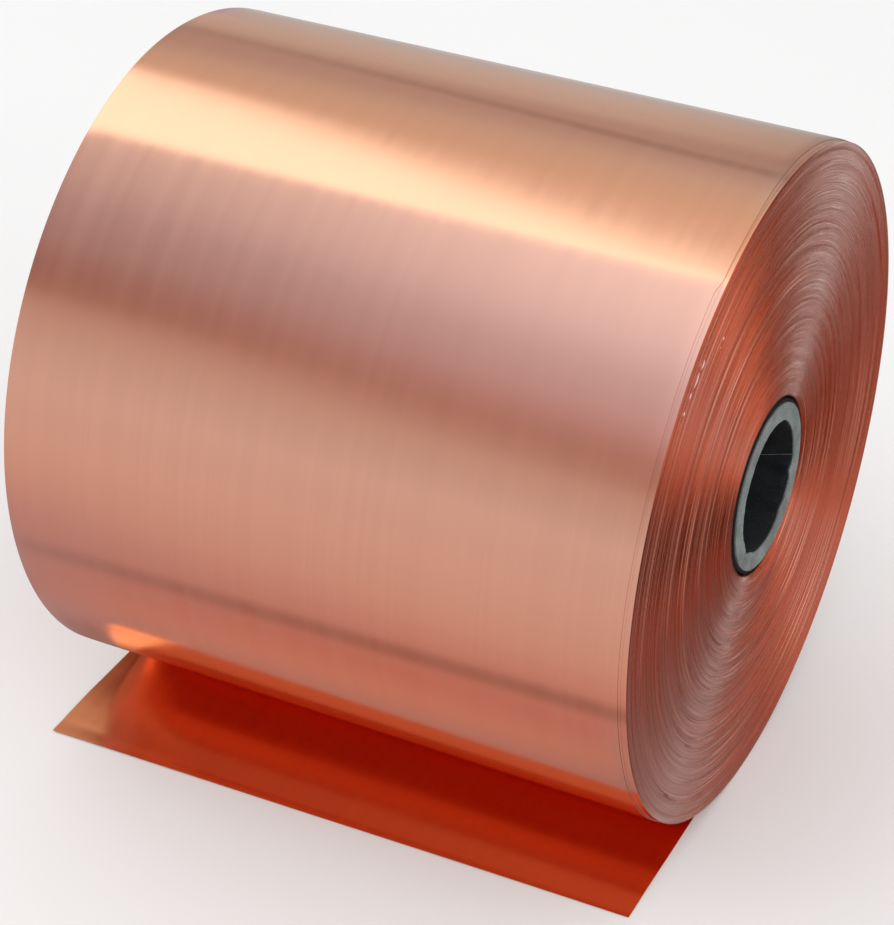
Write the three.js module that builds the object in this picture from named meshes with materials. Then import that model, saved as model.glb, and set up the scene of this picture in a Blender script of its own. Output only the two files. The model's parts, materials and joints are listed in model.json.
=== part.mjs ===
// Copper foil roll: a wide strip of bare copper foil wound on a paperboard core, standing on its side
// with the outer end of the strip drawn out flat along the ground.
//
// Millimetres, +Z up. The roll's axis runs along X, the drawn-out end of the foil points along -Y, and
// the origin is on the ground, midway along the line where the roll touches it.
//
// The foil is one continuous strip. It is cut here into the turns that stay on the roll and turn with
// the core, the outermost turn, and the flat end. Foil thickness is drawn at SHEET, not at its true gauge.

import * as THREE from 'three';

// Driving dimensions.
const ROLL_RADIUS = 200;
const FOIL_WIDTH = 383;
const SHEET = 0.8;
const GAP = 0.3;

const BORE_RADIUS = 38;
const LINER_THICKNESS = 1.2;
const CORE_RADIUS = 51.5;
const CORE_STAND_OUT = 1;

const TAPE_THICKNESS = 0.6;
const TAPE_ARC = 45;
const TAPE_SIDE_MARGIN = 8;
const START_TURN_ARC = 345;

// How far each group of turns, from the core outwards, stands out along +X: uneven winding.
const GROUP_STEPS = [0.5, -0.3, 0.4, -0.5, 0.2, 0];

// The outermost turn wanders sideways, from DRIFT_AT_TOP to DRIFT_AT_TAIL towards -X.
const DRIFT_AT_TOP = 4;
const DRIFT_AT_TAIL = 8;

// The outermost turn leaves the roll this many degrees short of the ground line, on both sides.
const LEAVE_ANGLE = 15;

// The flat end, measured forwards from the ground line.
const TAIL_LENGTH_LEFT = 168;
const TAIL_LENGTH_RIGHT = 161;
const FIRST_BEND = 60;
const SECOND_BEND = 112;

const SEGMENTS = 96;
const CORE_SEGMENTS = 72;

// Derived dimensions.
const HALF_WIDTH = FOIL_WIDTH / 2;
const STEP_DEGREES = 360 / SEGMENTS;
const RUNNING_GAP = 0.5;
const WOUND_RADIUS = ROLL_RADIUS - SHEET - RUNNING_GAP;
const TAPE_RADIUS = CORE_RADIUS + GAP;
const START_RADIUS = TAPE_RADIUS + TAPE_THICKNESS + GAP;
const FIRST_GROUP_RADIUS = START_RADIUS + SHEET + GAP;

const copper = (colour, roughness) => new THREE.MeshStandardMaterial({ color: colour, roughness, metalness: 1 });
const board = (colour) => new THREE.MeshStandardMaterial({ color: colour, roughness: 0.9, metalness: 0 });

const roll = new THREE.Group();

function add(name, geometry, material) {
  const mesh = new THREE.Mesh(geometry, material);
  mesh.name = name;
  roll.add(mesh);
}

// A plain ring about the roll's axis.
function ring(innerRadius, outerRadius, left, right, segments) {
  const profile = [
    new THREE.Vector2(innerRadius, left),
    new THREE.Vector2(outerRadius, left),
    new THREE.Vector2(outerRadius, right),
    new THREE.Vector2(innerRadius, right),
    new THREE.Vector2(innerRadius, left),
  ];
  const geometry = new THREE.LatheGeometry(profile, segments);
  geometry.rotateZ(-Math.PI / 2);
  geometry.translate(0, 0, ROLL_RADIUS);
  return geometry;
}

// Points of an arc about the roll's axis, seen along the axis: x forwards (-Y), y up. Angles are
// measured from straight forwards, upwards over the top, and on down the back.
function arcPoints(radius, fromDegrees, toDegrees) {
  const count = Math.round(Math.abs(toDegrees - fromDegrees) / STEP_DEGREES);
  return Array.from({ length: count + 1 }, (_, index) => {
    const angle = THREE.MathUtils.degToRad(fromDegrees + ((toDegrees - fromDegrees) * index) / count);
    return new THREE.Vector2(radius * Math.cos(angle), ROLL_RADIUS + radius * Math.sin(angle));
  });
}

// An outline seen along the roll's axis, drawn out along X from left to right.
function alongAxis(points, left, right) {
  const geometry = new THREE.ExtrudeGeometry(new THREE.Shape(points), {
    depth: right - left,
    bevelEnabled: false,
    steps: 1,
  });
  geometry.applyMatrix4(new THREE.Matrix4().makeBasis(
    new THREE.Vector3(0, -1, 0),
    new THREE.Vector3(0, 0, 1),
    new THREE.Vector3(-1, 0, 0),
  ));
  geometry.translate(right, 0, 0);
  return geometry;
}

// A curved sheet that covers part of a turn.
function bentSheet(innerRadius, thickness, fromDegrees, toDegrees, left, right) {
  const outside = arcPoints(innerRadius + thickness, fromDegrees, toDegrees);
  const inside = arcPoints(innerRadius, toDegrees, fromDegrees);
  return alongAxis([...outside, ...inside], left, right);
}

// Sideways place of the outermost turn at a point on it.
function drift(y, z) {
  const fromTop = Math.atan2(Math.abs(y), z - ROLL_RADIUS) / Math.PI;
  return -DRIFT_AT_TOP - (DRIFT_AT_TAIL - DRIFT_AT_TOP) * fromTop * fromTop;
}

function outermostTurn() {
  const front = LEAVE_ANGLE - 90;
  const back = 270 - LEAVE_ANGLE;
  const lean = THREE.MathUtils.degToRad(LEAVE_ANGLE);
  const landing = ROLL_RADIUS * Math.tan(lean / 2);
  const outline = [
    ...arcPoints(ROLL_RADIUS, front, back),
    new THREE.Vector2(-landing, 0),
    new THREE.Vector2(-landing, SHEET / Math.cos(lean)),
    ...arcPoints(ROLL_RADIUS - SHEET, back, front),
  ];
  const geometry = alongAxis(outline, -HALF_WIDTH, HALF_WIDTH);
  const position = geometry.attributes.position;
  for (let index = 0; index < position.count; index += 1) {
    const sideways = drift(position.getY(index), position.getZ(index));
    position.setX(index, position.getX(index) + sideways);
  }
  return { geometry, landing };
}

// A flat stretch of the drawn-out end. Distances forwards run from the ground line.
function flatSheet(rear, frontLeft, frontRight) {
  const left = -HALF_WIDTH - DRIFT_AT_TAIL;
  const right = HALF_WIDTH - DRIFT_AT_TAIL;
  const outline = new THREE.Shape([
    new THREE.Vector2(left, -frontLeft),
    new THREE.Vector2(right, -frontRight),
    new THREE.Vector2(right, -rear),
    new THREE.Vector2(left, -rear),
  ]);
  return new THREE.ExtrudeGeometry(outline, { depth: SHEET, bevelEnabled: false, steps: 1 });
}

function addCore() {
  const end = HALF_WIDTH + CORE_STAND_OUT;
  const linerRadius = BORE_RADIUS + LINER_THICKNESS;
  add('core_liner', ring(BORE_RADIUS, linerRadius, -end, end, CORE_SEGMENTS), board(0x1c1a19));
  add('core_wall', ring(linerRadius + GAP, CORE_RADIUS, -end, end, CORE_SEGMENTS), board(0x8a8a7a));
}

function addInnerEnd() {
  const tapeEnd = HALF_WIDTH - TAPE_SIDE_MARGIN;
  const tape = bentSheet(TAPE_RADIUS, TAPE_THICKNESS, 90 - TAPE_ARC / 2, 90 + TAPE_ARC / 2, -tapeEnd, tapeEnd);
  add('start_tape', tape, board(0xc9b37a));
  const turnFrom = 90 - TAPE_ARC / 2;
  const turn = bentSheet(START_RADIUS, SHEET, turnFrom, turnFrom + START_TURN_ARC, -HALF_WIDTH, HALF_WIDTH);
  add('foil_start_turn', turn, copper(0xb8704f, 0.35));
}

function addWoundTurns() {
  const pitch = (WOUND_RADIUS - FIRST_GROUP_RADIUS + GAP) / GROUP_STEPS.length;
  GROUP_STEPS.forEach((step, index) => {
    const inner = FIRST_GROUP_RADIUS + index * pitch;
    const outer = inner + pitch - GAP;
    const geometry = ring(inner, outer, -HALF_WIDTH + step, HALF_WIDTH + step, SEGMENTS);
    add(`foil_turns_${index + 1}`, geometry, copper(0xb06a4c, 0.4));
  });
}

function addOuterEnd() {
  const { geometry, landing } = outermostTurn();
  add('foil_outer_turn', geometry, copper(0xd08a6c, 0.2));
  const half = GAP / 2;
  const base = flatSheet(-landing + GAP, FIRST_BEND - half, FIRST_BEND - half);
  add('foil_tail_base', base, copper(0xa04528, 0.25));
  const middle = flatSheet(FIRST_BEND + half, SECOND_BEND - half, SECOND_BEND - half);
  add('foil_tail_middle', middle, copper(0xa04528, 0.25));
  const tip = flatSheet(SECOND_BEND + half, TAIL_LENGTH_LEFT, TAIL_LENGTH_RIGHT);
  add('foil_tail_tip', tip, copper(0xa85030, 0.25));
}

addCore();
addInnerEnd();
addWoundTurns();
addOuterEnd();

export default roll;
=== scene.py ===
"""Looks for the copper foil roll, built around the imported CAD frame. Everything is in metres.

X runs along the roll's axis, the drawn-out end of the foil points along -Y, and Z is up.
Angles round the roll are in degrees: 0 is straight forwards (-Y), 90 the top, 180 the back, 270 the ground.
"""

import json
import math

import bmesh
import bpy
import numpy as np
from mathutils import Matrix, Vector


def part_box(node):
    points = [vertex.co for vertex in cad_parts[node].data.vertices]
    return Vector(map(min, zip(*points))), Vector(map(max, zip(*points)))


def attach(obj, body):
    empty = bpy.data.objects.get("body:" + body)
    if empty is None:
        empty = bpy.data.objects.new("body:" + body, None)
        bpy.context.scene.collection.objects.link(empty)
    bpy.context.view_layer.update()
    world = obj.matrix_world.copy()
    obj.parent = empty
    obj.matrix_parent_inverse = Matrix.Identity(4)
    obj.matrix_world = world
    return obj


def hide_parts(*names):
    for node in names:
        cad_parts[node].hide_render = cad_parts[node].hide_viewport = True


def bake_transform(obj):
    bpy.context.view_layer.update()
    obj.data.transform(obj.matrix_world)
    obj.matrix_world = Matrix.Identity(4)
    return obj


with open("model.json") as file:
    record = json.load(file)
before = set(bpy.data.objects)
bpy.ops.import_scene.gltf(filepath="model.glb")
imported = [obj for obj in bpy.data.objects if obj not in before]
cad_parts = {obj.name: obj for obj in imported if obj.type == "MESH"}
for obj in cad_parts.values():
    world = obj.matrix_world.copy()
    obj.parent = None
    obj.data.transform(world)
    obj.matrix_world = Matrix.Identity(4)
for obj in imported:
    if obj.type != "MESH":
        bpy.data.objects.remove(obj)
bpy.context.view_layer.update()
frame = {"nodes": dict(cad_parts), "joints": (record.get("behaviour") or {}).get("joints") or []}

# Places and sizes from the frame.
JOINTS = {joint["name"]: joint for joint in frame["joints"]}
AXIS_HEIGHT = JOINTS["coil_turn"]["pos_m"][2]
ROLL_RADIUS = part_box("foil_outer_turn")[1].z - AXIS_HEIGHT
FIRST_BEND = -JOINTS["tail_lift"]["pos_m"][1]
SECOND_BEND = -JOINTS["tail_curl"]["pos_m"][1]
TAIL_LOW, TAIL_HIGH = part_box("foil_tail_tip")
TAIL_LENGTH = -TAIL_LOW.y
CORE_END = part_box("core_wall")[1].x
CORE_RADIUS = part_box("core_wall")[1].y
BORE_RADIUS = 0.038  # not the edge of any node's box
GROUPS = [f"foil_turns_{index}" for index in range(1, 7)]
HALF_WIDTH = (TAIL_HIGH.x - TAIL_LOW.x) / 2
DRIFT_AT_TAIL = -(TAIL_HIGH.x + TAIL_LOW.x) / 2
DRIFT_AT_TOP = 0.004  # how far the outermost turn sits towards -X at the top of the roll

# Visible foil: thin, and just inside the CAD's outline.
FOIL = 0.00015
COIL_RADIUS = ROLL_RADIUS - 0.0009
SEGMENTS = 512
END_CREASE = 50  # degrees; sharper edges of foil and paper stay crisp


# ---------------------------------------------------------------- small tools


def smooth(value, low, high):
    """0 below low, 1 above high, smooth between."""
    t = np.clip((value - low) / (high - low), 0, 1)
    return t * t * (3 - 2 * t)


def wave(seed, angle, count=6, lowest=1):
    """A smooth closed curve of the angle in radians, about -1 to 1."""
    rng = np.random.default_rng(seed)
    total = np.zeros_like(angle)
    for step in range(count):
        order = lowest + step
        total = total + rng.normal() / (1 + 0.5 * step) * np.sin(order * angle + rng.uniform(0, 2 * math.pi))
    return total / 2


def add_mesh(name, points, quads, material):
    """A smooth-shaded mesh object from arrays of points and of corner indices."""
    mesh = bpy.data.meshes.new(name)
    mesh.from_pydata(np.asarray(points).tolist(), [], [tuple(q) for q in quads])
    mesh.validate()
    mesh.shade_smooth()
    piece = bpy.data.objects.new(name, mesh)
    bpy.context.scene.collection.objects.link(piece)
    mesh.materials.append(material)
    return piece


def grid_quads(rows, columns, wrap_rows=False, wrap_columns=False):
    """Corner indices for a grid of points stored row by row."""
    row_count = rows if wrap_rows else rows - 1
    column_count = columns if wrap_columns else columns - 1
    row, column = np.meshgrid(np.arange(row_count), np.arange(column_count), indexing="ij")
    below = (row + 1) % rows
    beside = (column + 1) % columns
    corners = [
        row * columns + column,
        row * columns + beside,
        below * columns + beside,
        below * columns + column,
    ]
    return np.stack(corners, -1).reshape(-1, 4)


def directions(angle):
    """Unit vectors (y, z) that point away from the roll's axis at these angles in radians."""
    return np.stack([-np.cos(angle), np.sin(angle)], -1)


def round_axis(rows, angle):
    """Points round the roll's axis: a row of them for each pair of radius and place along X."""
    points = np.zeros((len(rows), len(angle), 3))
    for row, (radius, x) in enumerate(rows):
        points[row, :, 0] = x
        points[row, :, 1] = -radius * np.cos(angle)
        points[row, :, 2] = AXIS_HEIGHT + radius * np.sin(angle)
    return points


def face_outwards(piece):
    """Turns every face so that its normal points out of the solid."""
    mesh = bmesh.new()
    mesh.from_mesh(piece.data)
    bmesh.ops.recalc_face_normals(mesh, faces=mesh.faces)
    mesh.to_mesh(piece.data)
    mesh.free()
    piece.data.shade_smooth()


def store_vectors(piece, name, vectors):
    attribute = piece.data.attributes.new(name, "FLOAT_VECTOR", "POINT")
    attribute.data.foreach_set("vector", np.asarray(vectors, np.float32).ravel())


def sharpen(piece, degrees=35):
    """Keeps edges sharper than this angle crisp under smooth shading."""
    piece.data.set_sharp_from_angle(angle=math.radians(degrees))


# ---------------------------------------------------------------- node helpers


class Graph:
    """A short way to write a node tree: each call adds a node and gives its output."""

    def __init__(self, tree):
        self.tree = tree
        tree.nodes.clear()

    def add(self, kind, inputs=(), output=0, **settings):
        node = self.tree.nodes.new(kind)
        for key, value in settings.items():
            setattr(node, key, value)
        for key, value in dict(inputs).items():
            self.feed(node.inputs[key], value)
        return node.outputs[output] if len(node.outputs) else node

    def feed(self, socket, value):
        if isinstance(value, bpy.types.NodeSocket):
            self.tree.links.new(value, socket)
        else:
            socket.default_value = value

    def math(self, operation, first, second=0.0, third=0.0):
        return self.add("ShaderNodeMath", {0: first, 1: second, 2: third}, operation=operation)

    def dot(self, vector, direction):
        return self.add("ShaderNodeVectorMath", {0: vector, 1: direction}, output=1, operation="DOT_PRODUCT")

    def ease(self, value, low, high, to_low=0.0, to_high=1.0):
        return self.add(
            "ShaderNodeMapRange",
            {0: value, 1: low, 2: high, 3: to_low, 4: to_high},
            interpolation_type="SMOOTHSTEP",
        )

    def degrees(self, radians):
        return self.math("MULTIPLY", radians, math.degrees(1))

    def line(self, value, low, high, to_low=0.0, to_high=1.0):
        return self.add("ShaderNodeMapRange", {0: value, 1: low, 2: high, 3: to_low, 4: to_high})

    def mix(self, factor, first, second, blend="MIX"):
        return self.add(
            "ShaderNodeMix",
            {0: factor, 6: first, 7: second},
            output=2,
            data_type="RGBA",
            blend_type=blend,
        )

    def ramp(self, value, stops):
        """A colour ramp; stops are (position, colour) with colour three numbers."""
        node = self.tree.nodes.new("ShaderNodeValToRGB")
        self.feed(node.inputs[0], value)
        elements = node.color_ramp.elements
        while len(elements) > 1:
            elements.remove(elements[0])
        for index, (position, colour) in enumerate(stops):
            element = elements[0] if index == 0 else elements.new(position)
            element.position = position
            element.color = (*colour, 1)
        return node.outputs[0]

    def noise(self, vector, scale, detail=2.0, roughness=0.5):
        return self.add(
            "ShaderNodeTexNoise",
            {"Vector": vector, "Scale": scale, "Detail": detail, "Roughness": roughness},
        )

    def scaled(self, vector, factors):
        return self.add("ShaderNodeVectorMath", {0: vector, 1: factors}, operation="MULTIPLY")


def new_material(name):
    material = bpy.data.materials.new(name)
    material.use_nodes = True
    return material, Graph(material.node_tree)


def finish_material(graph, inputs):
    shader = graph.add("ShaderNodeBsdfPrincipled", inputs)
    graph.add("ShaderNodeOutputMaterial", {"Surface": shader})


# ---------------------------------------------------------------- materials

COPPER = (0.93, 0.55, 0.41)
# Painted reflection: a darker, redder copy of the copper for the drawn-out end, standing in for it reflecting
# the roll's copper.
COPPER_WITH_PAINTED_REFLECTION = (0.86, 0.36, 0.20)


def across_grain(graph):
    """The direction across the rolling lines, stored on the mesh, in world space."""
    stored = graph.add("ShaderNodeAttribute", output=1, attribute_name="across")
    return graph.add(
        "ShaderNodeVectorTransform",
        {0: stored},
        vector_type="VECTOR",
        convert_from="OBJECT",
        convert_to="WORLD",
    )


def copper_sheet(name, tone, roughness, anisotropy, streaks):
    """Bright rolled foil. The strip attribute is (across, along, 0) in metres."""
    material, graph = new_material(name)
    strip = graph.add("ShaderNodeAttribute", output=1, attribute_name="strip")
    fine = graph.noise(graph.scaled(strip, (900, 6, 1)), 1.0, 3.0, 0.6)
    broad = graph.noise(graph.scaled(strip, (110, 1.6, 1)), 1.0, 2.0, 0.5)
    clouds = graph.noise(graph.scaled(strip, (9, 4, 1)), 1.0, 2.0, 0.5)
    level = graph.math("ADD", graph.math("MULTIPLY", fine, 0.35), graph.math("MULTIPLY", broad, 0.65))
    dull = tuple(channel * (1 - streaks) for channel in tone)
    bright = tuple(min(1, channel * (1 + streaks)) for channel in tone)
    colour = graph.mix(graph.ease(level, 0.35, 0.65), (*dull, 1), (*bright, 1))
    rough = graph.line(graph.math("ADD", broad, clouds), 0.7, 1.3, roughness * 0.85, roughness * 1.2)
    bump = graph.add("ShaderNodeBump", {"Strength": 0.10, "Distance": 0.00002, "Height": fine})
    finish_material(graph, {
        "Base Color": colour,
        "Metallic": 1.0,
        "Roughness": rough,
        "Anisotropic": anisotropy,
        "Tangent": across_grain(graph),
        "Normal": bump,
    })
    return material


def copper_edges():
    """The slit edges of the wound turns: fine lines round the axis, each at a slightly different slant."""
    material, graph = new_material("copper_edges")
    place = graph.add("ShaderNodeAttribute", output=1, attribute_name="strip")
    lines = graph.noise(graph.scaled(place, (2600, 1.2, 1.2)), 1.0, 2.0, 0.6)
    bands = graph.noise(graph.scaled(place, (420, 1.0, 1.0)), 1.0, 3.0, 0.6)
    slants = graph.noise(graph.scaled(place, (700, 0.9, 0.9)), 1.0, 3.0, 0.7)
    tone = graph.math("ADD", graph.math("MULTIPLY", lines, 0.5), graph.math("MULTIPLY", bands, 0.5))
    colour = graph.mix(graph.ease(tone, 0.38, 0.62), (0.77, 0.36, 0.24, 1), (0.91, 0.46, 0.33, 1))
    bump = graph.add("ShaderNodeBump", {"Strength": 1.0, "Distance": 0.0001, "Height": lines})
    finish_material(graph, {
        "Base Color": colour,
        "Metallic": 1.0,
        "Roughness": graph.line(bands, 0.3, 0.7, 0.21, 0.26),
        "Anisotropic": 1.0,
        "Anisotropic Rotation": graph.line(slants, 0.3, 0.7, -0.012, 0.012),
        "Tangent": across_grain(graph),
        "Normal": bump,
    })
    return material


def paper(name, dark, light, bump_strength):
    """Paperboard: fibres and patches."""
    material, graph = new_material(name)
    place = graph.add("ShaderNodeTexCoord", output=3)
    fibres = graph.noise(place, 900, 4.0, 0.65)
    patches = graph.noise(place, 90, 3.0, 0.5)
    tone = graph.math("ADD", graph.math("MULTIPLY", fibres, 0.6), graph.math("MULTIPLY", patches, 0.4))
    colour = graph.mix(graph.ease(tone, 0.35, 0.65), (*dark, 1), (*light, 1))
    bump = graph.add("ShaderNodeBump", {"Strength": bump_strength, "Distance": 0.0004, "Height": fibres})
    rough = graph.line(patches, 0.3, 0.7, 0.8, 0.95)
    finish_material(graph, {"Base Color": colour, "Roughness": rough, "Normal": bump})
    return material


# ---------------------------------------------------------------- foil sheets


def sheet_quads(rows, columns):
    """Faces of a thin closed sheet; each row holds the top's points and then the bottom's, backwards."""
    count = 2 * columns
    quads = list(grid_quads(rows, count, wrap_columns=True))
    for row, flip in ((0, False), (rows - 1, True)):
        first, last = row * count, (row + 1) * count - 1
        for column in range(columns - 1):
            corners = [first + column, first + column + 1, last - 1 - column, last - column]
            quads.append(corners[::-1] if flip else corners)
    return quads


def foil_sheet(name, top, bottom, lengths, material):
    """A closed sheet between two (rows, columns, 3) grids; lengths is each point's place along the strip."""
    rows, columns = lengths.shape
    loop = np.concatenate([top, bottom[:, ::-1]], 1)
    piece = add_mesh(name, loop.reshape(-1, 3), sheet_quads(rows, columns), material)
    strip = np.zeros_like(loop)
    strip[..., 0] = loop[..., 0]
    strip[..., 1] = np.concatenate([lengths, lengths[:, ::-1]], 1)
    store_vectors(piece, "strip", strip.reshape(-1, 3))
    store_vectors(piece, "across", np.broadcast_to(np.array([1.0, 0, 0]), (rows * 2 * columns, 3)))
    face_outwards(piece)
    sharpen(piece, END_CREASE)
    return piece


def ribbon(name, path, normals, left, right, lengths, columns, material, lift=None):
    """A thin sheet that follows a path in the YZ plane, as one closed solid.

    path and normals are (stations, 2) arrays of y, z; left and right give each station's ends along X;
    lift adds a height along the normal, from arrays of across (0 to 1) and station.
    """
    stations = len(path)
    across = np.linspace(0, 1, columns)
    x = left[:, None] + (right - left)[:, None] * across[None, :]
    raised = np.zeros(x.shape) if lift is None else lift(across[None, :], np.arange(stations)[:, None])
    layers = []
    for side in (0.5, -0.5):
        offset = raised + side * FOIL
        y = path[:, 0:1] + normals[:, 0:1] * offset
        z = path[:, 1:2] + normals[:, 1:2] * offset
        layers.append(np.stack([x, y, z], -1))
    return foil_sheet(name, *layers, np.broadcast_to(lengths[:, None], x.shape), material)


def outer_turn_edges(degrees):
    """Left and right ends of the outermost turn along X: it wanders, and its right edge has a small step."""
    from_top = np.abs(degrees - 90) / 180
    shift = -DRIFT_AT_TOP - (DRIFT_AT_TAIL - DRIFT_AT_TOP) * from_top ** 2
    wander = 0.0004 * wave(3, np.radians(degrees) * 1.5, 5)
    step = 0.0018 * (smooth(degrees, 61.5, 64.5) - smooth(degrees, 72, 96))
    right = HALF_WIDTH + shift + wander + step
    near_ground = smooth(from_top, 0.75, 0.86)
    bulge = 0.0016 * np.exp(-(((degrees - 84) / 22) ** 2))
    left = -HALF_WIDTH + (-DRIFT_AT_TAIL * near_ground - bulge) + 0.4 * wander
    return left, right


def outer_turn(material):
    """The outermost turn, from the ground behind over the top and down the front to where it tucks in."""
    first, last = 270.0, -84.0
    flat_until, round_from = 7.5, 26
    degrees = np.linspace(first, last, 709)
    behind = np.radians(np.clip(270 - degrees, 0, 90))
    flat = ROLL_RADIUS / np.cos(np.minimum(behind, math.radians(flat_until))) - ROLL_RADIUS
    slack = flat * (1 - smooth(np.degrees(behind), flat_until, round_from))
    turned = (first - degrees) / (first - last)
    radius = ROLL_RADIUS - FOIL / 2 - 0.0001 * turned + slack
    normals = directions(np.radians(degrees))
    path = normals * radius[:, None] + np.array([0, AXIS_HEIGHT])
    left, right = outer_turn_edges(degrees)
    lengths = (270 - degrees) / 360 * 2 * math.pi * ROLL_RADIUS

    piece = ribbon("outer_turn_foil", path, normals, left, right, lengths, 97, material, rolled_edge)
    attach(piece, "laid_foil")
    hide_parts("foil_outer_turn")


def under_turns(material):
    """The two turns just below the outermost one. They show past its right-hand edge."""
    degrees = np.linspace(0, 360, 721)
    angle = np.radians(degrees)
    normals = directions(angle)
    from_top = np.minimum(np.abs(degrees - 90), np.abs(degrees - 450)) / 180
    insets = {
        "second_turn_foil": 0.0021 + 0.0022 * from_top + 0.0003 * wave(8, angle, 6),
        "third_turn_foil": 0.0001 + 0.0001 * wave(9, angle, 6),
    }
    clearance, pitch = 0.00022, 0.00025
    for depth, (name, inset) in enumerate(insets.items(), 1):
        radius = ROLL_RADIUS - clearance - depth * pitch
        path = normals * radius + np.array([0, AXIS_HEIGHT])
        right = HALF_WIDTH - inset
        left = np.full_like(right, -HALF_WIDTH)
        piece = ribbon(name, path, normals, left, right, angle * radius, 49, material, rolled_edge)
        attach(piece, "coil")


def rolled_edge(across, station):
    """The last millimetres of a turn curl down on to the turn below it."""
    curl, starts = 0.00012, 0.992
    return -curl * (smooth(across, starts, 1.0) + smooth(1 - across, starts, 1.0)) + 0 * station


def tail_front(x):
    """How far forwards the cut end reaches at this place across the foil."""
    short = 0.007
    share = (x - TAIL_LOW.x) / (TAIL_HIGH.x - TAIL_LOW.x)
    return TAIL_LENGTH - short * share


def tail_height(forwards, across):
    """Height of the middle of the foil above the ground: nearly flat, with its left side slightly raised."""
    raised = 0.0006 * (1 - smooth(across, 0, 0.13)) * smooth(forwards, 0.06, 0.11)
    raised = raised * (1 - smooth(forwards, 0.150, 0.170))
    swell = 0.0005 * smooth(forwards, 0.100, 0.128) * (1 - smooth(forwards, 0.132, 0.160))
    ripple = 0.00015 * np.sin(across * 9.0 + 1.0) * smooth(forwards, 0.07, 0.12)
    lip = 0.0004 * smooth(forwards, 0.156, 0.168)
    return FOIL / 2 + 0.00005 + raised + swell + ripple + lip


def tail_sheet(name, rear, front, rows, columns, material):
    """A stretch of the drawn-out end between two distances forwards; front None is the cut end."""
    across = np.linspace(0, 1, columns)[None, :]
    x = TAIL_LOW.x + (TAIL_HIGH.x - TAIL_LOW.x) * across
    end = tail_front(x) if front is None else np.full_like(x, front)
    share = np.linspace(0, 1, rows)[:, None]
    forwards = rear + (end - rear) * share
    height = tail_height(forwards, across)
    x = np.broadcast_to(x, forwards.shape)
    top = np.stack([x, -forwards, height + FOIL / 2], -1)
    bottom = np.stack([x, -forwards, height - FOIL / 2], -1)
    piece = foil_sheet(name, top, bottom, -forwards, material)
    return piece


def tail(material):
    """The drawn-out end: one stretch on the ground under the roll and two further out, one after the other.
    """
    middle_first = (FIRST_BEND + SECOND_BEND) / 2
    base = tail_sheet("tail_under_roll", -0.0005, 0.030, 12, 97, material)
    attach(base, "laid_foil")
    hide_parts("foil_tail_base")
    bend = tail_sheet("tail_first_bend", 0.030, middle_first, 60, 97, material)
    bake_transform(bend)
    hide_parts("foil_tail_middle")
    tip = tail_sheet("tail_free_end", middle_first, None, 90, 97, material)
    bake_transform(tip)
    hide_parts("foil_tail_tip")


# ---------------------------------------------------------------- wound turns


def terrace_radii(inner, outer, seed):
    """Radii at which the end face steps, between a group's inner and outer radius."""
    rng = np.random.default_rng(seed)
    radii = [inner]
    while radii[-1] < outer - 0.0005:
        radii.append(radii[-1] + rng.choice([0.0005, 0.0008, 0.0012, 0.0019], p=[0.3, 0.35, 0.25, 0.1]))
    radii[-1] = outer
    return np.array(radii)


def end_profile(radii, seed, reach, angle):
    """Radius and axial place of one end face: a row for each terrace edge, a column for each angle.

    reach gives the end's mean place along X from the radius.
    """
    rng = np.random.default_rng(seed)
    rows = []
    drift = 0.0
    for index in range(len(radii) - 1):
        inner, outer = radii[index], radii[index + 1]
        drift = 0.8 * drift + rng.normal() * 0.00006
        level = drift + rng.normal() * 0.00004
        tilt = rng.normal() * 0.00002
        uneven = 0.00003 * wave(seed * 1000 + index, angle, 4)
        for radius, rise in ((inner + 0.00004, -tilt), (outer - 0.00004, tilt)):
            rows.append((radius, reach(radius) + level + rise + uneven))
    return rows


def mean_reach(side):
    """The place of an end face along X as a function of radius: the groups' own, eased into each other."""
    half_group = 0.012
    middles, places = [], []
    for node in GROUPS:
        low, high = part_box(node)
        middles.append(high.y - half_group)
        places.append(high.x if side > 0 else -low.x)

    dip_size = 0.0026  # both how deep the face sinks at the core and how far out that reaches

    def reach(radius):
        place = np.interp(radius, middles, places)
        rim = 0.0004 * smooth(radius, ROLL_RADIUS - 0.0030, ROLL_RADIUS)
        dip = dip_size * math.exp(-(radius - CORE_RADIUS) / dip_size)
        return place - rim - dip

    return reach


def wound_group(index, node, inner, outer, material):
    """One group of wound turns, with real steps on both end faces."""
    angle = np.linspace(0, 2 * math.pi, SEGMENTS, endpoint=False)
    radii = terrace_radii(inner, outer, 20 + index)
    rows = end_profile(radii, 40 + index, mean_reach(1), angle)
    other = end_profile(radii, 60 + index, mean_reach(-1), angle)
    if index == len(GROUPS):
        rows = [(radius, x + scuffs(radius, angle)) for radius, x in rows]
    loop = rows + [(radius, -x) for radius, x in reversed(other)]
    points = round_axis(loop, angle)
    strip = np.zeros_like(points)
    strip[..., 0] = np.array([radius for radius, _ in loop])[:, None]
    strip[..., 1] = np.sin(angle)
    strip[..., 2] = np.cos(angle)
    across = np.zeros_like(points)
    across[..., 1:] = directions(angle)
    quads = grid_quads(len(loop), SEGMENTS, wrap_rows=True, wrap_columns=True)
    piece = add_mesh(f"wound_turns_{index}", points.reshape(-1, 3), quads, material)
    store_vectors(piece, "strip", strip.reshape(-1, 3))
    store_vectors(piece, "across", across.reshape(-1, 3))
    face_outwards(piece)
    sharpen(piece, 30)
    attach(piece, "coil")
    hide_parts(node)


def scuffs(radius, angle):
    """Small dents along the outer rim, where the edges of a few turns were knocked."""
    degrees = np.degrees(angle)
    rng = np.random.default_rng(5)
    total = np.zeros_like(angle)
    for _ in range(9):
        place, reach = rng.uniform(40, 62), rng.uniform(0.186, 0.1955)
        size = rng.uniform(0.6, 1.6)
        height = rng.uniform(-0.0004, 0.0007)
        near = np.exp(-(((degrees - place) / size) ** 2)) * math.exp(-(((radius - reach) / 0.0007) ** 2))
        total += height * near
    return total


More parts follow.
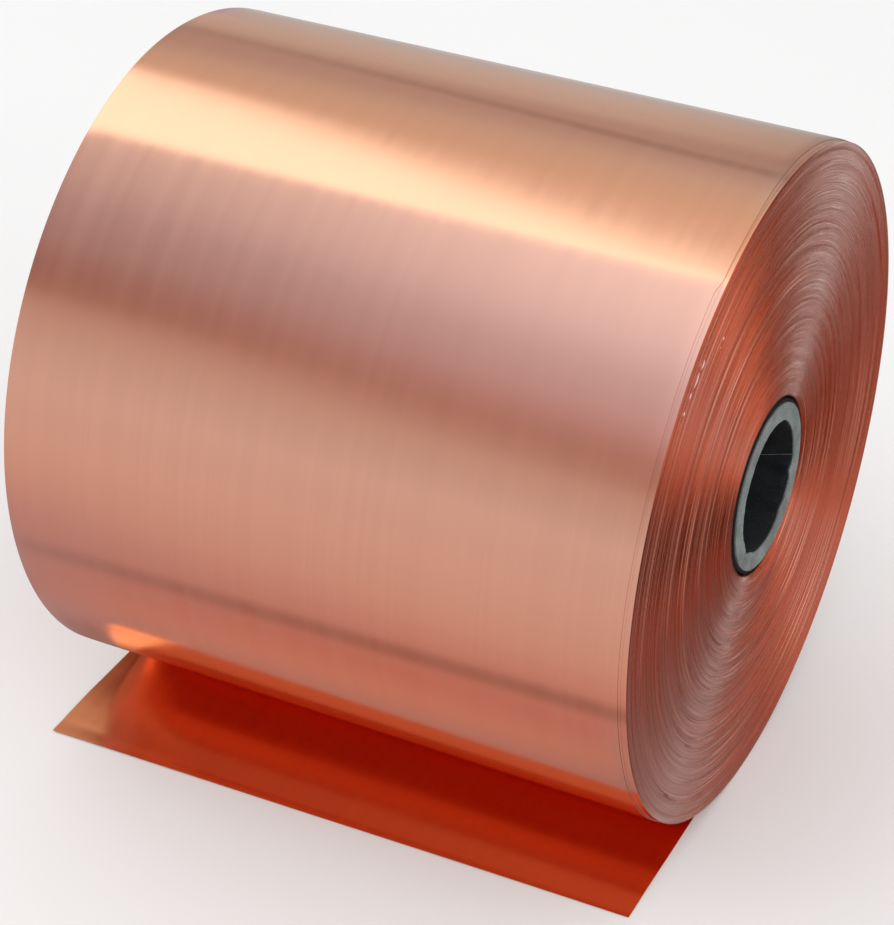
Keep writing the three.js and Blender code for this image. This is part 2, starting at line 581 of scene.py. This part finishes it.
def wound_turns(material):
    """All six groups, each reaching out to just short of the next one."""
    gap = 0.00006
    inner_radii = []
    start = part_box("foil_start_turn")[1].y + 0.0002
    for node in GROUPS:
        inner_radii.append(start)
        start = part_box(node)[1].y
    outers = [*[radius - gap for radius in inner_radii[1:]], COIL_RADIUS]
    for index, node in enumerate(GROUPS, 1):
        wound_group(index, node, inner_radii[index - 1], outers[index - 1], material)


def start_turn(material):
    """The innermost turn, an open loop whose cut end lies over the tape."""
    low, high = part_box("foil_start_turn")
    radius = high.y - 0.0003
    first, arc = 67.5, 345
    degrees = np.linspace(first, first + arc, 400)
    normals = directions(np.radians(degrees))
    path = normals * radius + np.array([0, AXIS_HEIGHT])
    ends = np.full(len(path), high.x - 0.0008)
    piece = ribbon("start_turn_foil", path, normals, -ends, ends, np.radians(degrees) * radius, 9, material)
    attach(piece, "coil")
    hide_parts("foil_start_turn")


# Each burr: radius, the angles round the roll that it runs between, and how far it stands out.
BURRS = [
    (0.1715, 58.4, 59.4, 0.0006),
    (0.1705, 56.9, 57.6, 0.0004),
    (0.1862, 50.6, 52.6, 0.0007),
    (0.1872, 47.2, 50.4, 0.0006),
    (0.1888, 45.4, 46.6, 0.0005),
    (0.1900, 42.6, 43.4, 0.0006),
]


def rim_burrs():
    """Short slivers where the edges of a few turns were knocked and stand out of the end face."""
    material, graph = new_material("copper_burr")
    finish_material(graph, {"Base Color": (0.90, 0.74, 0.67, 1), "Metallic": 0.35, "Roughness": 0.45})
    points, quads = [], []
    around, steps = 6, 14
    thickness, root = 0.00035, 0.0002
    for radius, first, last, rise in BURRS:
        base = len(points)
        for step in range(steps):
            share = step / (steps - 1)
            angle = math.radians(first + (last - first) * share)
            size = math.sin(math.pi * (0.04 + 0.92 * share))
            for corner in range(around):
                turn = 2 * math.pi * corner / around
                reach = radius + thickness * size * math.cos(turn)
                x = HALF_WIDTH - root + (rise + root) * size * (0.5 + 0.5 * math.sin(turn))
                points.append((x, -reach * math.cos(angle), AXIS_HEIGHT + reach * math.sin(angle)))
        quads.extend((grid_quads(steps, around, wrap_columns=True) + base).tolist())
        quads.append([base + corner for corner in range(around)])
        quads.append([base + (steps - 1) * around + corner for corner in range(around)][::-1])
    piece = add_mesh("rim_burrs", points, quads, material)
    face_outwards(piece)
    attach(piece, "coil")


# ---------------------------------------------------------------- core


# Each tear in the core's lip: its place and width in degrees, and its change of radius.
TEARS = ((196, 5, -0.0034), (214, 5, -0.0016), (232, 7, -0.0022), (318, 6, 0.0030))


def torn_lip(angle):
    """How far the inner edge of the core's end is torn in or out, as a change of radius."""
    degrees = np.degrees(angle)
    total = 0.00030 * wave(11, angle, 18, 3) + 0.00020 * wave(12, angle, 30, 20)
    for place, width, depth in TEARS:
        total = total + depth * np.exp(-(((degrees - place) / width) ** 2))
    return total


def core_end_rows(side, radial, reach, lip, angle):
    """Radius and place along X of one cut end, from its inner edge to its outer edge."""
    rows = []
    for step, radius in enumerate(radial):
        share = step / (len(radial) - 1)
        edge = 0.0004 * (max(0, 1 - share * 9) ** 2 + max(0, 1 - (1 - share) * 9) ** 2)
        ragged = 0.00012 * wave(100 + step + (200 if side < 0 else 0), angle, 24, 5)
        fray = 0.0003 * np.abs(wave(300 + step, angle, 30, 12)) * max(0, 1 - share * 5)
        rows.append((radius + lip * (1 - share) ** 2, side * (reach - edge - fray) + ragged))
    return rows


def core_ring(name, inner, outer, material, torn=False, recess=0.0, seam=False):
    """A paper ring: fibrous end faces with slightly crushed edges."""
    angle = np.linspace(0, 2 * math.pi, 480, endpoint=False)
    reach = CORE_END - recess
    radial = np.linspace(inner, outer, 12)
    lip = torn_lip(angle) if torn else 0 * angle
    right, left = (core_end_rows(side, radial, reach, lip, angle) for side in (1, -1))
    middle, lip_depth = 30, 0.004
    outside = [(outer + 0 * angle, reach * (1 - 2 * step / middle) + 0 * angle) for step in range(1, middle)]
    inside = []
    ridge = spiral_ridge if seam else flat_wall
    for step in range(1, middle * 2):
        x = reach * (step / middle - 1)
        radius = inner + lip * math.exp(-(reach - abs(x)) / lip_depth) + ridge(x, angle)
        inside.append((radius, x + 0 * angle))
    points = round_axis(right + outside + left[::-1] + inside, angle)
    quads = grid_quads(len(points), len(angle), wrap_rows=True, wrap_columns=True)
    piece = add_mesh(name, points.reshape(-1, 3), quads, material)
    face_outwards(piece)
    sharpen(piece, END_CREASE)
    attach(piece, "coil")
    return piece


# The seam of the inner ply goes once round the bore in SEAM_LEAD metres.
SEAM_LEAD = 0.79
SEAM_START = 0.256


def bore_seam(material):
    """The cut edge of the inner ply, a fine pale line along the bore."""
    reach, stations = CORE_END - 0.001, 120
    x = np.linspace(-reach, reach, stations)
    middle = 2 * math.pi * (1 - SEAM_START - x / SEAM_LEAD)
    half = math.radians(0.2)
    points = np.zeros((stations, 4, 3))
    outer, inner = BORE_RADIUS - 0.0003, BORE_RADIUS - 0.0006
    for corner, (radius, turn) in enumerate(((outer, -half), (outer, half), (inner, half), (inner, -half))):
        points[:, corner, 0] = x
        points[:, corner, 1] = -radius * np.cos(middle + turn)
        points[:, corner, 2] = AXIS_HEIGHT + radius * np.sin(middle + turn)
    last = 4 * (stations - 1)
    quads = grid_quads(stations, 4, wrap_columns=True).tolist()
    quads += [[0, 1, 2, 3], [last, last + 1, last + 2, last + 3]]
    piece = add_mesh("bore_seam", points.reshape(-1, 3), quads, material)
    face_outwards(piece)
    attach(piece, "coil")


def spiral_ridge(x, angle):
    """The overlap of the spirally wound inner ply: a low ridge that winds along the bore."""
    turned = (angle / (2 * math.pi) + x / SEAM_LEAD + SEAM_START) % 1.0
    return -0.0005 * smooth(turned, 0.0, 0.35) * (1 - smooth(turned, 0.985, 1.0))


def flat_wall(x, angle):
    """A bore wall without a ridge."""
    return 0 * angle


def core():
    """The board wall, a near-black ring round its outside, the dark lining of the bore and the lining's seam.
    """
    board = paper("core_board", (0.11, 0.13, 0.125), (0.22, 0.25, 0.24), 0.5)
    lining = paper("core_liner", (0.004, 0.006, 0.007), (0.014, 0.018, 0.021), 0.35)
    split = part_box("core_liner")[1].y
    outer_ply = 0.0019
    wall = core_ring("core_board_wall", split - 0.0004, CORE_RADIUS - outer_ply, board, torn=True)
    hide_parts("core_wall")
    # A near-black ring, set back from the end, that draws the dark band round the outside of the core's end.
    ply = core_ring("core_outer_ply", CORE_RADIUS - outer_ply + 0.00005, CORE_RADIUS, lining, recess=0.0012)
    liner = core_ring("core_lining", BORE_RADIUS, split - 0.0005, lining, torn=True, recess=0.0012, seam=True)
    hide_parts("core_liner")
    bore_seam(board)


def tape():
    """The tape under the foil's inner end: the CAD's own mesh with a paper tape material."""
    material, graph = new_material("adhesive_tape")
    place = graph.add("ShaderNodeTexCoord", output=3)
    grain = graph.noise(place, 400, 3.0, 0.6)
    colour = graph.mix(grain, (0.42, 0.32, 0.17, 1), (0.60, 0.48, 0.28, 1))
    finish_material(graph, {"Base Color": colour, "Roughness": graph.line(grain, 0.3, 0.7, 0.5, 0.7)})
    node = frame["nodes"]["start_tape"]
    node.data.materials.clear()
    node.data.materials.append(material)


# ---------------------------------------------------------------- stage


# The camera, in degrees, metres and millimetres, as solved from the outlines of the object in the photo.
CAMERA_AZIMUTH, CAMERA_ELEVATION = 26.7186, 33.9565
CAMERA_PLACE = (0.62563, -1.26799, 1.11058)
CAMERA_LENS, CAMERA_SENSOR = 110.3, 36


def camera():
    """The photo's view: 27 degrees round to the right and 34 degrees up."""
    azimuth, elevation = math.radians(CAMERA_AZIMUTH), math.radians(CAMERA_ELEVATION)
    back = Vector((
        math.sin(azimuth) * math.cos(elevation),
        -math.cos(azimuth) * math.cos(elevation),
        math.sin(elevation),
    ))
    right = Vector((math.cos(azimuth), math.sin(azimuth), 0))
    up = back.cross(right)
    data = bpy.data.cameras.new("camera")
    data.sensor_width = CAMERA_SENSOR
    data.lens = CAMERA_LENS
    data.clip_end = 50
    eye = bpy.data.objects.new("camera", data)
    rotation = Matrix((right, up, back)).transposed().to_4x4()
    eye.matrix_world = Matrix.Translation(CAMERA_PLACE) @ rotation
    bpy.context.scene.collection.objects.link(eye)
    bpy.context.scene.camera = eye


def floor():
    """A wide pale floor just below the foil. The copper reflects the studio in its place."""
    material, graph = new_material("floor")
    place = graph.add("ShaderNodeTexCoord", output=3)
    tone = graph.noise(place, 3.0, 2.0, 0.5)
    colour = graph.mix(tone, (0.86, 0.86, 0.86, 1), (0.89, 0.89, 0.89, 1))
    finish_material(graph, {"Base Color": colour, "Roughness": 0.9})
    size, level = 14, -0.0003
    points = [(-size, -size, level), (size, -size, level), (size, size, level), (-size, size, level)]
    ground = add_mesh("floor", points, [(0, 1, 2, 3)], material)
    ground.visible_glossy = False


def flag():
    """A glowing card beyond the roll's left end, towards the back, that paints a reflection into the
    drawn-out end.

    Only reflections see it. From the camera it shows in the left side of the drawn-out end.
    """
    material, graph = new_material("flag")
    place = graph.add("ShaderNodeTexCoord", output=3)
    split = graph.tree.nodes.new("ShaderNodeSeparateXYZ")
    graph.feed(split.inputs[0], place)
    # Painted reflection: the card glows dark red at the back and pale brown at the front. The left side of
    # the drawn-out end shows this glow.
    back_reflection_colour, front_reflection_colour = (0.16, 0.02, 0.008, 1), (0.42, 0.26, 0.19, 1)
    colour = graph.mix(graph.ease(split.outputs[1], 0.27, 0.20), back_reflection_colour, front_reflection_colour)
    light = graph.add("ShaderNodeEmission", {"Color": colour, "Strength": 1.0})
    graph.add("ShaderNodeOutputMaterial", {"Surface": light})
    x, near, far, low, high = -0.42, 0.175, 0.34, 0.16, 0.40
    corners = [(x, near, low), (x, far, low), (x, far, high), (x, near, high)]
    card = add_mesh("flag", corners, [(0, 1, 2, 3)], material)
    card.visible_camera = False
    card.visible_diffuse = False
    card.visible_shadow = False


def lamp(name, place, target, size, watts):
    """A soft round white lamp that the copper doesn't reflect."""
    data = bpy.data.lights.new(name, "AREA")
    data.shape = "DISK"
    data.size = size
    data.energy = watts
    light = bpy.data.objects.new(name, data)
    light.location = place
    aim = Vector(target) - Vector(place)
    light.rotation_euler = aim.to_track_quat("-Z", "Y").to_euler()
    light.visible_glossy = False
    bpy.context.scene.collection.objects.link(light)


# The darkest surroundings.
SHADE = (0.10, 0.03, 0.015)

# The studio that the copper reflects, as seen from the roll, tuned by comparing the bands on the
# roll with those in the photo. Each row is a height angle in degrees, from
# 0 at the horizon in front over 90 straight up to 180 at the horizon behind, and a colour.
STUDIO = [
    (-130, (0.30, 0.20, 0.18)),
    (-108, (0.34, 0.16, 0.12)),
    (-92, (0.50, 0.27, 0.22)),
    (-80, (0.59, 0.28, 0.21)),
    (-66, (0.54, 0.24, 0.19)),
    (-50, (0.57, 0.34, 0.30)),
    (-36, (0.64, 0.45, 0.40)),
    (-20, (0.66, 0.53, 0.48)),
    (4, (0.67, 0.58, 0.55)),
    (15, (0.60, 0.51, 0.47)),
    (27, (0.53, 0.41, 0.37)),
    (31, (0.42, 0.28, 0.23)),
    (40, (0.43, 0.29, 0.28)),
    (48, (0.49, 0.38, 0.41)),
    (62, (0.55, 0.50, 0.55)),
    (75, (0.72, 0.68, 0.74)),
    (93, (0.85, 0.82, 0.85)),
    (97, (0.98, 0.90, 0.78)),
    (110, (0.78, 0.62, 0.50)),
    (124, (0.69, 0.57, 0.44)),
    (138, (0.59, 0.51, 0.42)),
    (146, (0.48, 0.40, 0.36)),
    (158, (0.46, 0.38, 0.34)),
    (164, (0.56, 0.51, 0.45)),
    (180, (0.57, 0.53, 0.47)),
    (192, (0.49, 0.50, 0.47)),
    (206, (0.64, 0.63, 0.61)),
    (211, (0.30, 0.20, 0.17)),
    (216, SHADE),
    (229, SHADE),
]
STUDIO_START = -130

# The part of the studio behind and to the right, which the end face reflects. The angle turns round the
# direction in which a mirror in place of the end face would look.
END_STUDIO = [
    (-180, SHADE),
    (-172, (0.17, 0.08, 0.07)),
    (-160, (0.42, 0.35, 0.37)),
    (-148, (0.22, 0.12, 0.10)),
    (-126, (0.24, 0.16, 0.16)),
    (-112, (0.32, 0.27, 0.29)),
    (-92, (0.52, 0.54, 0.60)),
    (-66, (0.21, 0.12, 0.11)),
    (-46, (0.22, 0.08, 0.05)),
    (-26, (0.28, 0.055, 0.03)),
    (-14, (0.03, 0.003, 0.001)),
    (-6, (0.22, 0.02, 0.005)),
    (-1, (0.68, 0.26, 0.16)),
    (6, (0.64, 0.32, 0.27)),
    (14, (0.42, 0.14, 0.09)),
    (24, (0.86, 0.31, 0.20)),
    (30, (0.95, 0.30, 0.16)),
    (34, (0.12, 0.01, 0.001)),
    (51, (0.18, 0.045, 0.015)),
    (70, (0.21, 0.09, 0.05)),
    (82, (0.34, 0.32, 0.32)),
    (92, (1.40, 1.85, 2.10)),
    (103, (0.52, 0.58, 0.64)),
    (115, (0.17, 0.09, 0.07)),
    (150, (0.17, 0.06, 0.04)),
    (180, SHADE),
]


# The X part of the directions in which the curved side's left and right ends reflect towards the camera.
LEFT_LOOK, RIGHT_LOOK = -0.50, -0.30

# A full turn ends just short of a ramp's end, where the angle starts again from 0.
RAMP_END = 0.9999


def turn_ramp(graph, degrees, stops, start):
    """A colour ramp over a full turn of angle."""
    wrapped = graph.math("FRACT", graph.math("DIVIDE", graph.math("SUBTRACT", degrees, start), 360))
    return graph.ramp(wrapped, [((angle - start) / 360 * RAMP_END, colour) for angle, colour in stops])


def along_roll(graph, x, at_left, at_right):
    """A value that changes evenly between the reflections of the roll's two ends."""
    return graph.line(x, LEFT_LOOK, RIGHT_LOOK, at_left, at_right)


def side_studio(graph, x, height):
    """Long soft lights and dark gaps that lie along the roll, some of them slightly askew to it."""
    right = along_roll(graph, x, -0.5, 0.5)
    front = graph.math("MULTIPLY", graph.ease(height, 2, 16), graph.ease(height, 93, 80))
    askew = graph.math("MULTIPLY", graph.math("MULTIPLY", right, 12.0), front)
    colour = turn_ramp(graph, graph.math("ADD", height, askew), STUDIO, STUDIO_START)

    glow = graph.math("MULTIPLY", graph.ease(height, 28, 46), graph.ease(height, 97, 94))
    slope = graph.math("MULTIPLY", right, glow)
    tint = graph.add("ShaderNodeVectorMath", {0: (0.56, 0.68, 0.80), "Scale": slope}, operation="SCALE")
    gain = graph.add("ShaderNodeVectorMath", {0: tint, 1: (1.0, 1.0, 1.03)}, operation="ADD")
    colour = graph.scaled(colour, gain)

    top = along_roll(graph, x, 132.0, 99.0)
    soft = along_roll(graph, x, 124.0, 95.5)
    below = graph.ease(height, 94.5, 96.5)
    above = graph.add("ShaderNodeMapRange", {0: height, 1: top, 2: soft}, interpolation_type="SMOOTHSTEP")
    colour = graph.mix(graph.math("MULTIPLY", below, above), colour, (1.55, 1.50, 1.28, 1))

    colour = dark_line(graph, colour, x, height, (159, 148), 3.2, (0.10, 0.42))
    colour = dark_line(graph, colour, x, height, (-62, -55), 6.0, (0.40, 0.45))
    beside = graph.math("MULTIPLY", graph.ease(x, -0.466, -0.492), graph.ease(height, -18, -70))
    return graph.mix(beside, colour, (0.42, 0.38, 0.44, 1))


def dark_line(graph, colour, x, height, places, half_width, depths):
    """A dark gap whose height and depth change from left to right."""
    place = along_roll(graph, x, *places)
    near = graph.ease(graph.math("ABSOLUTE", graph.math("SUBTRACT", height, place)), half_width, 0.5)
    depth = graph.math("MULTIPLY", near, along_roll(graph, x, *depths))
    return graph.mix(depth, colour, (0.12, 0.05, 0.03, 1))


def end_studio(graph, x, direction, colour):
    """Lays the lights that the end face reflects over the rest."""
    mirror = Vector((0.268, 0.783, -0.562)).normalized()
    outwards = (Vector((1, 0, 0)) - mirror * mirror.x).normalized()
    upwards = -mirror.cross(outwards)
    turned = graph.math("ARCTAN2", graph.dot(direction, upwards), graph.dot(direction, outwards))
    end = turn_ramp(graph, graph.degrees(turned), END_STUDIO, -180)
    towards = graph.dot(direction, mirror)
    near = graph.ease(towards, math.cos(math.radians(100)), math.cos(math.radians(75)))
    colour = graph.mix(graph.math("MULTIPLY", near, graph.ease(x, -0.30, -0.22)), colour, end)
    behind = graph.math("MULTIPLY", graph.ease(towards, 0.1, 0.4), graph.ease(x, -0.50, -0.60))
    return graph.mix(behind, colour, (*SHADE, 1))


def studio():
    """The surroundings: what the copper reflects, an even white light on the rest, and a pale backdrop."""
    world = bpy.data.worlds.new("studio")
    bpy.context.scene.world = world
    world.use_nodes = True
    graph = Graph(world.node_tree)
    direction = graph.add("ShaderNodeTexCoord", output=0)
    split = graph.tree.nodes.new("ShaderNodeSeparateXYZ")
    graph.feed(split.inputs[0], direction)
    x, y, z = split.outputs
    height = graph.degrees(graph.math("ARCTAN2", z, graph.math("MULTIPLY", y, -1.0)))
    colour = end_studio(graph, x, direction, side_studio(graph, x, height))
    colour = graph.mix(graph.add("ShaderNodeLightPath", output=2), colour, (0.98, 0.98, 0.98, 1))
    colour = graph.mix(graph.add("ShaderNodeLightPath", output=0), colour, (0.95, 0.95, 0.95, 1))
    background = graph.add("ShaderNodeBackground", {"Color": colour, "Strength": 1.0})
    graph.add("ShaderNodeOutputWorld", {"Surface": background})


# ---------------------------------------------------------------- the scene

camera()
outside = copper_sheet("copper_foil", COPPER, 0.15, 0.85, 0.015)
# The drawn-out end gets the darker, redder copper: a painted reflection of copper in copper.
laid = copper_sheet("copper_foil_laid", COPPER_WITH_PAINTED_REFLECTION, 0.15, 0.7, 0.02)
edges = copper_edges()
outer_turn(outside)
under_turns(outside)
tail(laid)
wound_turns(edges)
start_turn(edges)
rim_burrs()
core()
tape()
floor()
flag()
lamp("key", (-1.4, -1.2, 2.6), (0, 0, 0.1), 2.4, 14)
lamp("fill", (2.2, -1.2, 1.6), (0.19, 0, 0.2), 2.0, 14)
studio()

bpy.context.scene.view_settings.view_transform = "Standard"
bpy.context.scene.cycles.glossy_bounces = 6
